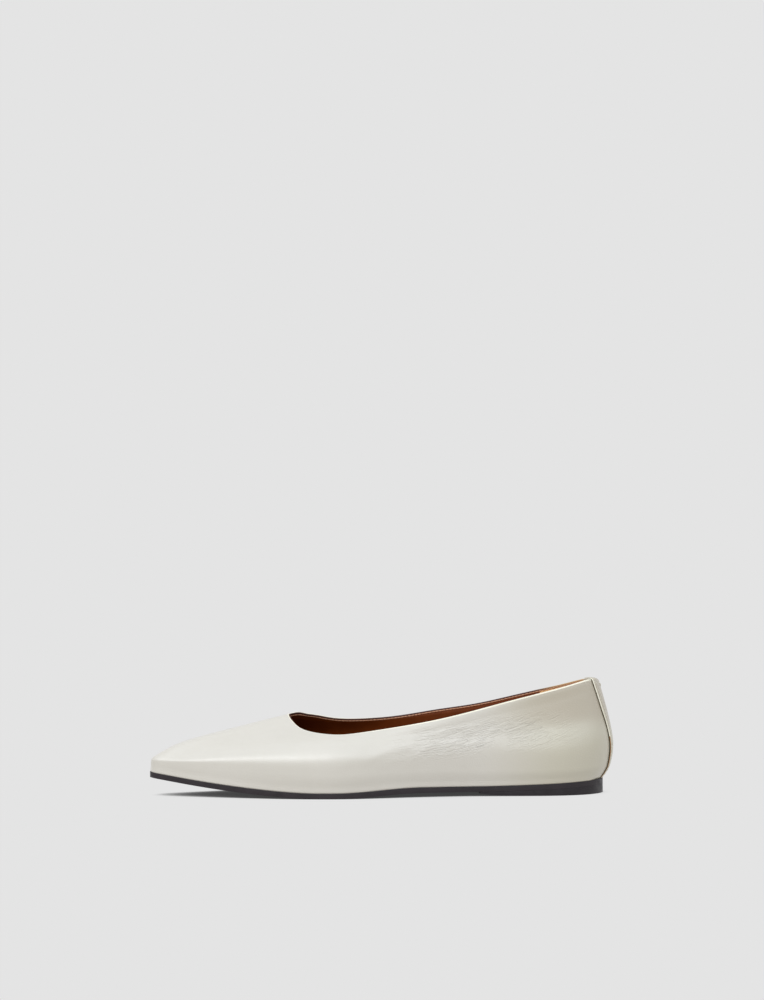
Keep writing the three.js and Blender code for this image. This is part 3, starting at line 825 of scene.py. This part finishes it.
def strip_section():
    """Across the strip and back: shares of its half width, and of its thickness."""
    flat = np.linspace(-1, 1, STRIP_ACROSS + 1)
    aside, thick = np.array(STRIP_CORNER, float)
    inner = np.stack([flat, np.zeros_like(flat)])
    right = np.stack([aside, thick])
    outer = np.stack([flat[::-1] * STRIP_FACE, np.ones_like(flat)])
    left = np.stack([-aside[::-1], thick[::-1]])
    return np.concatenate([inner, right[:, 1:], outer, left[:, :-1]], axis=1)


def strip_rings():
    """The strip's section at each of its steps."""
    steps = strip_steps()[:, None]
    share, thick = strip_section()
    grow = STRIP_GAP + strip_thick(steps) * thick[None, :]
    return skin_points(0.5 + share[None, :] * strip_half(steps), steps + 0 * share[None, :], grow)


def strip_paint():
    """Which material each face takes: 0 leather, 1 the cut edge, 2 painted shade at the seam, 3 a painted
    highlight on the edge.
    """
    _, thick = strip_section()
    following = np.roll(thick, -1)
    middle = (thick + following) / 2
    side = np.abs(following - thick) > 0
    low = (strip_steps()[:-1] < STRIP_RAW_BELOW)[:, None]
    # Painted shade on the side faces next to the leather, where the gap is in shadow; a painted highlight on
    # the outer corner.
    seam = side & (middle < STRIP_SHADE_BELOW)
    cut = side & (middle < STRIP_CUT_BELOW) & low
    pale = side & (middle > STRIP_HIGHLIGHT_ABOVE)
    return np.where(seam, 2, np.where(cut, 1, np.where(pale, 3, 0)))


def heel_grip_rings():
    """The soft patch inside the heel, over the lining."""
    front = u_at(SOLE_LENGTH - GRIP_FRONT)
    u = np.linspace(front, 1 - front, 120)[:, None]
    v = np.linspace(GRIP_FOOT, GRIP_TOP, 40)[None, :]
    at, _, out = wall_frame(u, v)
    across = np.minimum(u - front, 1 - front - u) / GRIP_FADE["across"]
    below = (GRIP_TOP - v) / GRIP_FADE["up"]
    edge_fade = np.clip(across, 0, 1) ** 0.5 * np.clip(below, 0, 1) ** 0.5
    face = at - out * (WALL + GRIP_EDGE + GRIP_THICKNESS * edge_fade)[..., None]
    back = at - out * (WALL + GRIP_GLUE)
    return np.concatenate([back, face[:, ::-1]], axis=1)


def slab(u, out, thickness, dish=0.0, corner=EDGE_ROUND):
    """A flat slab inside the outline, with rounded edges, as rings of points, and 1 for each point on top."""
    left = np.stack(edge(u, out), axis=-1)
    right = np.stack(edge(1 - u, out), axis=-1)
    width = np.linalg.norm(right - left, axis=-1)
    inset = np.minimum(0.45, corner / np.maximum(width, 1e-6))[:, None]
    arc = np.linspace(0, math.pi / 2, 6)
    flat = np.linspace(0, 1, 15)[1:-1]
    edge_share = inset * (1 - np.sin(arc))
    edge_drop = corner * (1 - np.cos(arc))
    over = inset + (1 - 2 * inset) * flat
    near = [edge_share, edge_share[:, ::-1], over]
    far = [1 - edge_share, 1 - edge_share[:, ::-1], over[:, ::-1]]
    share = np.concatenate(near + far, axis=1)
    bottom = edge_drop
    top = thickness - edge_drop[::-1]
    bend = dish * np.minimum(1, width / HEEL_WIDTH)[:, None] * np.sin(math.pi * over)
    rows = np.ones((len(u), 1))
    near = [rows * bottom, rows * top, thickness - bend]
    far = [rows * top[::-1], rows * bottom[::-1], 0 * over]
    z = np.concatenate(near + far, axis=1)
    on_top = np.concatenate([0 * bottom, 1 + 0 * top, 1 + 0 * flat, 1 + 0 * top, 0 * bottom, 0 * flat])
    xy = left[:, None] + (right - left)[:, None] * share[..., None]
    rings = np.concatenate([xy, z[..., None]], axis=-1)
    return rings, np.tile(on_top, len(u))


def slab_mesh(name, rings, on_top, capped=False):
    """The slab's mesh before it follows the last. Its points' attribute "top" is 1 where they follow it."""
    count, around = rings.shape[:2]
    faces = ring_faces(count, around)
    if capped:
        faces.append(list(range(around)))
    mesh = bpy.data.meshes.new(name)
    mesh.from_pydata(placed(rings).tolist(), [], faces)
    top = mesh.attributes.new("top", "FLOAT", "POINT")
    top.data.foreach_set("value", on_top.astype(np.float32))
    return mesh


def group_input(tree, name, kind="NodeSocketFloat"):
    """A named input of a Geometry Nodes tree."""
    return tree.interface.new_socket(name=name, in_out="INPUT", socket_type=kind)


def new_geometry_tree(name, sizes):
    """A Geometry Nodes tree with a geometry input, named number inputs and a material."""
    tree = bpy.data.node_groups.new(name, "GeometryNodeTree")
    group_input(tree, "Geometry", "NodeSocketGeometry")
    for size in sizes:
        group_input(tree, size)
    group_input(tree, "Material", "NodeSocketMaterial")
    tree.interface.new_socket(name="Geometry", in_out="OUTPUT", socket_type="NodeSocketGeometry")
    return tree, Nodes(tree), tree.nodes.new("NodeGroupInput").outputs


def end_tree(tree, nodes, geometry, material):
    """Closes a tree: instances made real, the material set."""
    real = nodes.add("GeometryNodeRealizeInstances", {"Geometry": geometry}).outputs[0]
    painted = nodes.add("GeometryNodeSetMaterial", {"Geometry": real, "Material": material}).outputs[0]
    nodes.set(tree.nodes.new("NodeGroupOutput").inputs[0], painted)
    return tree


def bed_tree():
    """Bends a flat slab to the last's bottom, with a heel's front sloping up where the slab has one."""
    sizes = [
        "Toe", "Length", "Spring", "Flat start", "Flat end", "Waist start", "Waist rise", "Seat start",
        "Seat rise", "Curve", "Thin", "Front top", "Front foot", "Front curve"]
    tree, nodes, given = new_geometry_tree("bed under the foot", sizes)
    place = nodes.add("GeometryNodeInputPosition").outputs[0]
    along = nodes.add("ShaderNodeSeparateXYZ", {0: place}).outputs[0]
    x = nodes.math("SUBTRACT", along, given["Toe"])
    forward = nodes.math("SUBTRACT", 1.0, nodes.math("DIVIDE", x, given["Flat start"]))
    spring_share = nodes.math("POWER", nodes.math("MAXIMUM", forward, 0.0), given["Curve"])
    spring = nodes.math("MULTIPLY", spring_share, given["Spring"])
    waist = nodes.ramp(x, given["Flat end"], given["Waist start"], 0.0, given["Waist rise"])
    seat_length = nodes.math("SUBTRACT", given["Length"], given["Seat start"])
    seat_share = nodes.math("DIVIDE", nodes.math("SUBTRACT", x, given["Seat start"]), seat_length)
    seat_share = nodes.math("POWER", nodes.math("MAXIMUM", seat_share, 0.0), given["Curve"])
    seat = nodes.math("MULTIPLY", seat_share, given["Seat rise"])
    bed = nodes.math("SUBTRACT", nodes.math("ADD", nodes.math("ADD", spring, waist), seat), given["Thin"])
    slope_length = nodes.math("SUBTRACT", given["Front foot"], given["Front top"])
    slope = nodes.math("DIVIDE", nodes.math("SUBTRACT", given["Front foot"], x), slope_length, clamp=True)
    slope = nodes.math("POWER", slope, given["Front curve"])
    top = nodes.add("GeometryNodeInputNamedAttribute", {"Name": "top"}, data_type="FLOAT")
    follow = nodes.math("MAXIMUM", top.outputs["Attribute"], slope)
    lift = nodes.add("ShaderNodeCombineXYZ", {"Z": nodes.math("MULTIPLY", bed, follow)}).outputs[0]
    moved = nodes.add("GeometryNodeSetPosition", {"Geometry": given["Geometry"], "Offset": lift})
    return end_tree(tree, nodes, moved.outputs[0], given["Material"])


def stitch_tree():
    """Rounded stitches along a line, lying on the surface that the line's "facing" attribute gives."""
    sizes = ["Pitch", "Length", "Width", "Height", "Lean", "Uneven"]
    tree, nodes, given = new_geometry_tree("rows of stitches", sizes)
    line = nodes.add("GeometryNodeMeshToCurve", {"Mesh": given["Geometry"]}).outputs[0]
    spacing = {"Curve": line, "Length": given["Pitch"]}
    spaced = nodes.add("GeometryNodeResampleCurve", spacing, mode="LENGTH").outputs[0]
    tangent = nodes.add("GeometryNodeInputTangent").outputs[0]
    facing = nodes.add("GeometryNodeInputNamedAttribute", {"Name": "facing"}, data_type="FLOAT_VECTOR")
    lie = nodes.add(
        "FunctionNodeAxesToRotation", {0: tangent, 1: facing.outputs["Attribute"]},
        primary_axis="X", secondary_axis="Z").outputs[0]
    either_way = {"Min": -1.0, "Max": 1.0, "Seed": STITCH_SEED}
    jitter = nodes.add("FunctionNodeRandomValue", either_way, data_type="FLOAT")
    wobble = nodes.math("MULTIPLY", given["Uneven"], jitter.outputs["Value"])
    lean = nodes.add("ShaderNodeCombineXYZ", {"Z": nodes.math("ADD", given["Lean"], wobble)}).outputs[0]
    turn = nodes.add("FunctionNodeEulerToRotation", {0: lean}).outputs[0]
    lie = nodes.add("FunctionNodeRotateRotation", {0: lie, 1: turn}, rotation_space="LOCAL").outputs[0]
    bead = nodes.add("GeometryNodeMeshUVSphere", {"Segments": 8, "Rings": 6, "Radius": 0.5}).outputs[0]
    lengths = {"X": given["Length"], "Y": given["Width"], "Z": given["Height"]}
    size = nodes.add("ShaderNodeCombineXYZ", lengths)
    stitch = nodes.add("GeometryNodeTransform", {"Geometry": bead, "Scale": size.outputs[0]}).outputs[0]
    stitch = nodes.add("GeometryNodeSetShadeSmooth", {"Geometry": stitch}).outputs[0]
    row = nodes.add(
        "GeometryNodeInstanceOnPoints", {"Points": spaced, "Instance": stitch, "Rotation": lie}).outputs[0]
    return end_tree(tree, nodes, row, given["Material"])


def run_tree(name, tree, source, material, sizes):
    """Runs a tree on a mesh with its sizes, and keeps the plain mesh that comes out."""
    holder = bpy.data.objects.new(name, source)
    bpy.context.scene.collection.objects.link(holder)
    modifier = holder.modifiers.new("shape", "NODES")
    modifier.node_group = tree
    sockets = {item.name: item.identifier for item in tree.interface.items_tree if item.in_out == "INPUT"}
    for size, value in sizes.items():
        modifier[sockets[size]] = value
    modifier[sockets["Material"]] = material
    evaluated = holder.evaluated_get(bpy.context.evaluated_depsgraph_get())
    mesh = bpy.data.meshes.new_from_object(evaluated)
    bpy.data.objects.remove(holder)
    mesh.name = name
    return mesh


def line_mesh(name, points, facing, closed=False):
    """A line of points with the direction that its surface faces at each."""
    count = len(points)
    links = [(i, (i + 1) % count) for i in range(count if closed else count - 1)]
    mesh = bpy.data.meshes.new(name)
    mesh.from_pydata(placed(points).tolist(), links, [])
    faced = mesh.attributes.new("facing", "FLOAT_VECTOR", "POINT")
    faced.data.foreach_set("vector", np.ravel(facing).astype(np.float32))
    return mesh


def stitches(name, tree, line, material, pitch, length, width, height, lean=0.0, uneven=0.0):
    """A row of stitches along a line. lean: how far each is turned out of the line, uneven: give or take."""
    sizes = {
        "Pitch": pitch * MM, "Length": length * MM, "Width": width * MM, "Height": height * MM,
        "Lean": lean, "Uneven": uneven}
    return add_piece(name, run_tree(name, tree, line, material, sizes))


def bedded(name, tree, flat, material, thin=0.0, heel_front=False):
    """A slab bent to the last's bottom."""
    sizes = {
        "Toe": float(ORIGIN[0]), "Length": SOLE_LENGTH * MM, "Spring": TOE_SPRING * MM,
        "Flat start": FLAT_START * MM, "Flat end": FLAT_END * MM, "Waist start": WAIST_START * MM,
        "Waist rise": WAIST_RISE * MM, "Seat start": HEEL_FRONT_TOP * MM,
        "Seat rise": (HEEL_LIFT_HEIGHT - WAIST_RISE) * MM, "Curve": BED_CURVE, "Thin": thin * MM,
        "Front top": (HEEL_FRONT_TOP if heel_front else SOLE_LENGTH) * MM,
        "Front foot": (HEEL_FRONT_FOOT if heel_front else 2 * SOLE_LENGTH) * MM,
        "Front curve": HEEL_FRONT_CURVE}
    mesh = run_tree(name, tree, flat, material, sizes)
    tidy_mesh(mesh)
    return add_piece(name, mesh)


def collar_line(drop, depth):
    """A line round the collar, "drop" below its edge and "depth" under the outer face, facing the foot."""
    u = crowded(0, 1, STATIONS)[:-1]
    _, _, out = wall_frame(u, np.ones_like(u))
    return near_collar(u, np.full_like(u, depth), np.full_like(u, -drop)), -out


def strip_line(side):
    """A line down one edge of the strip, on its face."""
    steps = np.linspace(0.05, 1, 60)
    half = strip_half(steps)
    u = 0.5 + side * half * (1 - 2 * STRIP_STITCH_INSET / strip_width(steps))
    _, _, out = wall_frame(u, steps)
    return skin_points(u, steps, STRIP_GAP + strip_thick(steps)), out


def bar_line():
    """A short line across the strip, a little below its top."""
    v = np.linspace(1, 0.5, 400)
    walked = np.append(0, np.cumsum(np.linalg.norm(np.diff(wall(0.5, v), axis=0), axis=-1)))
    step = np.full(13, np.interp(BAR_TACK_DROP, walked, v))
    share = np.linspace(-1, 1, 13) * BAR_TACK_WIDTH / STRIP_TOP_WIDTH
    u = 0.5 + share * strip_half(step)
    _, _, out = wall_frame(u, step)
    return skin_points(u, step, STRIP_GAP + strip_thick(step)), out


def add_floor():
    """A plain pale floor that glows evenly, with painted shade: its glow dims close to and under the shoe, by
    ambient occlusion.
    """
    material = bpy.data.materials.new("studio floor")
    material.use_nodes = True
    material.cycles.emission_sampling = "NONE"
    nodes = Nodes(material.node_tree)
    openness = nodes.add("ShaderNodeAmbientOcclusion", {"Distance": SHADE_REACH}, samples=16).outputs["AO"]
    # Painted contact shadow: the glow falls to SHADE_TONE where the shoe is near.
    strength = nodes.ramp(openness, 0.0, SHADE_END, SHADE_TONE, BACKDROP)
    pale = nodes.add("ShaderNodeEmission", {"Strength": strength})
    nodes.set(material.node_tree.nodes["Material Output"].inputs["Surface"], pale.outputs[0])
    mesh = bpy.data.meshes.new("studio floor")
    half = FLOOR_SIZE / 2
    corners = [(-half, -half, 0), (half, -half, 0), (half, half, 0), (-half, half, 0)]
    mesh.from_pydata(corners, [], [(0, 1, 2, 3)])
    mesh.materials.append(material)
    floor = bpy.data.objects.new("studio_floor", mesh)
    bpy.context.scene.collection.objects.link(floor)


def add_lamp(x, y, z, width, height, bright):
    """A soft rectangular lamp aimed at the shoe."""
    data = bpy.data.lights.new("soft lamp", "AREA")
    data.shape = "RECTANGLE"
    data.size = width
    data.size_y = height
    data.energy = bright * math.pi * width * height
    data.color = LAMP_TINT
    lamp = bpy.data.objects.new("soft lamp", data)
    lamp.location = (x, y, z)
    lamp.rotation_euler = Vector((x, y, z)).to_track_quat("Z", "Y").to_euler()
    lamp.visible_camera = False
    bpy.context.scene.collection.objects.link(lamp)


def add_light():
    """A plain studio: a sky dim and warm low in front, pale above and behind, and soft lamps in front."""
    world = bpy.data.worlds.new("studio")
    bpy.context.scene.world = world
    world.use_nodes = True
    nodes = Nodes(world.node_tree)
    background = world.node_tree.nodes["Background"]
    direction = nodes.add("ShaderNodeTexCoord").outputs["Generated"]
    parts = nodes.add("ShaderNodeSeparateXYZ", {0: direction}).outputs
    share = nodes.ramp(parts["Z"], *SKY_RISE)
    strength = nodes.math("ADD", SKY_LOW, nodes.math("MULTIPLY", share, SKY_HIGH - SKY_LOW))
    slant = nodes.math("SUBTRACT", 1.0, nodes.math("MULTIPLY", parts["X"], SKY_SLANT))
    behind = nodes.ramp(parts["Y"], 0.0, 0.5)
    seen = nodes.add("ShaderNodeLightPath").outputs["Is Camera Ray"]
    shown = nodes.add("ShaderNodeMix", {"Factor": seen}, data_type="FLOAT")
    nodes.set(shown.inputs[2], 1.0)
    nodes.set(shown.inputs[3], BACKDROP)
    nodes.set(background.inputs["Strength"], shown.outputs[0])
    tint = nodes.blend(share, SKY_WARM, SKY_COOL)
    front = nodes.add("ShaderNodeVectorMath", {0: tint}, operation="SCALE")
    nodes.set(front.inputs["Scale"], nodes.math("MULTIPLY", strength, slant))
    around = nodes.blend(behind, front.outputs["Vector"], colour(SKY_BEHIND, SKY_BEHIND, SKY_BEHIND))
    nodes.set(background.inputs["Color"], nodes.blend(seen, around, colour(1, 1, 1)))
    for lamp in LAMPS:
        add_lamp(*lamp)
    bpy.context.scene.view_settings.view_transform = "Standard"


def add_camera():
    """The camera at the shoe's outer side, a little above its collar."""
    data = bpy.data.cameras.new("side view")
    data.sensor_fit = "VERTICAL"
    data.sensor_height = 36.0
    data.lens = CAMERA["lens"]
    data.shift_x, data.shift_y = CAMERA["shift"]
    camera = bpy.data.objects.new("side view", data)
    camera.location = (0.0, -CAMERA["away"], CAMERA["high"])
    camera.rotation_euler = (math.pi / 2, CAMERA["roll"], 0.0)
    bpy.context.scene.collection.objects.link(camera)
    bpy.context.scene.camera = camera


def belongs(piece, slot, *nodes):
    """The piece rides with the shoe, and stands for the nodes given. slot: not used."""
    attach(piece, "root")
    if nodes:
        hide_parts(*nodes)


def add_skin(name, rings, ends, materials, slot, *nodes, paint=None):
    """A piece that is a skin over rings of points, with the nodes that it stands for. slot: not used."""
    piece = add_piece(name, skin_mesh(name, rings, ends, paint), *materials)
    belongs(piece, slot, *nodes)


def add_upper(leather, edge_painted_highlight, sewn):
    """The leather with its lining, collar binding, heel grip and the stitches under the collar."""
    lining = plain_leather(
        "brown lining", colour(0.145, 0.030, 0.003), colour(0.120, 0.023, 0.002),
        roughness=0.62, pore=0.6, depth=0.03)
    binding = plain_leather(
        "dark binding", colour(0.085, 0.035, 0.028), colour(0.065, 0.025, 0.020),
        roughness=0.55, pore=0.5, depth=0.02, at_heel=colour(0.47, 0.29, 0.14))
    suede = plain_leather(
        "tan suede", colour(0.80, 0.47, 0.21), colour(0.70, 0.39, 0.16),
        roughness=0.9, pore=0.3, depth=0.05, sheen=0.3)
    tan = thread("tan thread", colour(0.62, 0.30, 0.17))
    add_skin(
        "leather_upper", upper_rings(), "joined", [leather, edge_painted_highlight], "upper_leather", "upper",
        paint=upper_paint())
    add_skin("upper_lining", lining_rings(), "joined", [lining], "lining", "upper")
    add_skin("collar_binding", binding_rings(), "joined", [binding], "lining", "upper")
    add_skin("heel_grip", heel_grip_rings(), "capped", [suede], "lining", "upper")
    collar = line_mesh("collar_line", *collar_line(COLLAR_STITCH_DROP, WALL), closed=True)
    row = stitches(
        "collar_stitches", sewn, collar, tan, pitch=2.0, length=2.5, width=0.75, height=0.5)
    belongs(row, "thread")


def add_back_strip(leather, edge_painted_highlight, sewn):
    """The strip over the back seam, with a row of stitches along each edge and a bar-tack near its top."""
    cream = thread("cream thread", colour(0.62, 0.57, 0.46))
    # Near-black colour for the strip's seam: painted shade in the gap beside the strip.
    seam_painted_shade = plain_leather(
        "painted shade at seam", colour(0.075, 0.06, 0.035), colour(0.05, 0.038, 0.022),
        roughness=0.8, pore=0.5, depth=0.02)
    add_skin(
        "back_seam_strip", strip_rings(), "capped", [leather, raw_edge(), seam_painted_shade, edge_painted_highlight],
        "upper_leather", "back_strip", paint=strip_paint())
    for side, name in ((LATERAL, "outer"), (MEDIAL, "inner")):
        line = line_mesh("strip_line", *strip_line(side))
        row = stitches(
            f"strip_stitches_{name}", sewn, line, cream, pitch=2.1, length=1.8, width=0.45, height=0.4)
        belongs(row, "thread")
    line = line_mesh("bar_line", *bar_line())
    bar = stitches(
        "bar_tack", sewn, line, cream, pitch=0.42, length=2.0, width=0.5, height=0.9,
        lean=math.pi / 2, uneven=0.12)
    belongs(bar, "thread")


def add_bottom():
    """The outsole, the sock inside the shoe and the heel lift, all bent to the last's bottom."""
    rubber = sole_rubber(
        "sole rubber", colour(0.013, 0.009, 0.011), roughness=0.5, pore=0.5, depth=0.03)
    lift_rubber = sole_rubber(
        "heel rubber", colour(0.010, 0.007, 0.009), roughness=0.45, pore=0.4, depth=0.03)
    sock_leather = plain_leather(
        "brown sock leather", colour(0.15, 0.05, 0.016), colour(0.11, 0.034, 0.01),
        roughness=0.55, pore=0.8, depth=0.03)
    bed = bed_tree()
    u = crowded(0, 0.5, SOLE_STATIONS)
    rings, on_top = slab(u, 0.0, SOLE_THICKNESS)
    everywhere = np.ones_like(on_top)
    sole = bedded("rubber_outsole", bed, slab_mesh("flat sole", rings, everywhere), rubber)
    belongs(sole, "sole", "outsole")
    rings, _ = slab(u, -(FEATHER_INSET + WALL + SOCK_GAP), INSOLE_THICKNESS, INSOLE_DISH)
    rings[..., 2] += SOLE_THICKNESS + SEAM
    sock = bedded("leather_sock", bed, slab_mesh("flat sock", rings, everywhere), sock_leather)
    belongs(sock, "sock_lining", "insole")
    thin = SEAM + LIFT_OVERLAP
    heel_u = crowded(u_at(HEEL_FRONT_TOP), 0.5, SOLE_STATIONS // 2)
    rings, on_top = slab(heel_u, 0.0, thin - SOLE_GAP, corner=LIFT_CORNER)
    flat_lift = slab_mesh("flat lift", rings, on_top, capped=True)
    lift = bedded("rubber_heel_lift", bed, flat_lift, lift_rubber, thin, heel_front=True)
    belongs(lift, "sole", "heel_lift")


add_camera()
add_floor()
add_light()
leather = upper_leather()
# A paler leather colour for the collar's rim and the strip's outer corner: a painted highlight where they
# catch the light.
edge_painted_highlight = plain_leather(
    "painted highlight on edges", colour(0.80, 0.76, 0.64), colour(0.75, 0.71, 0.58),
    roughness=0.45, pore=0.6, depth=0.02)
sewn = stitch_tree()
add_upper(leather, edge_painted_highlight, sewn)
add_back_strip(leather, edge_painted_highlight, sewn)
add_bottom()
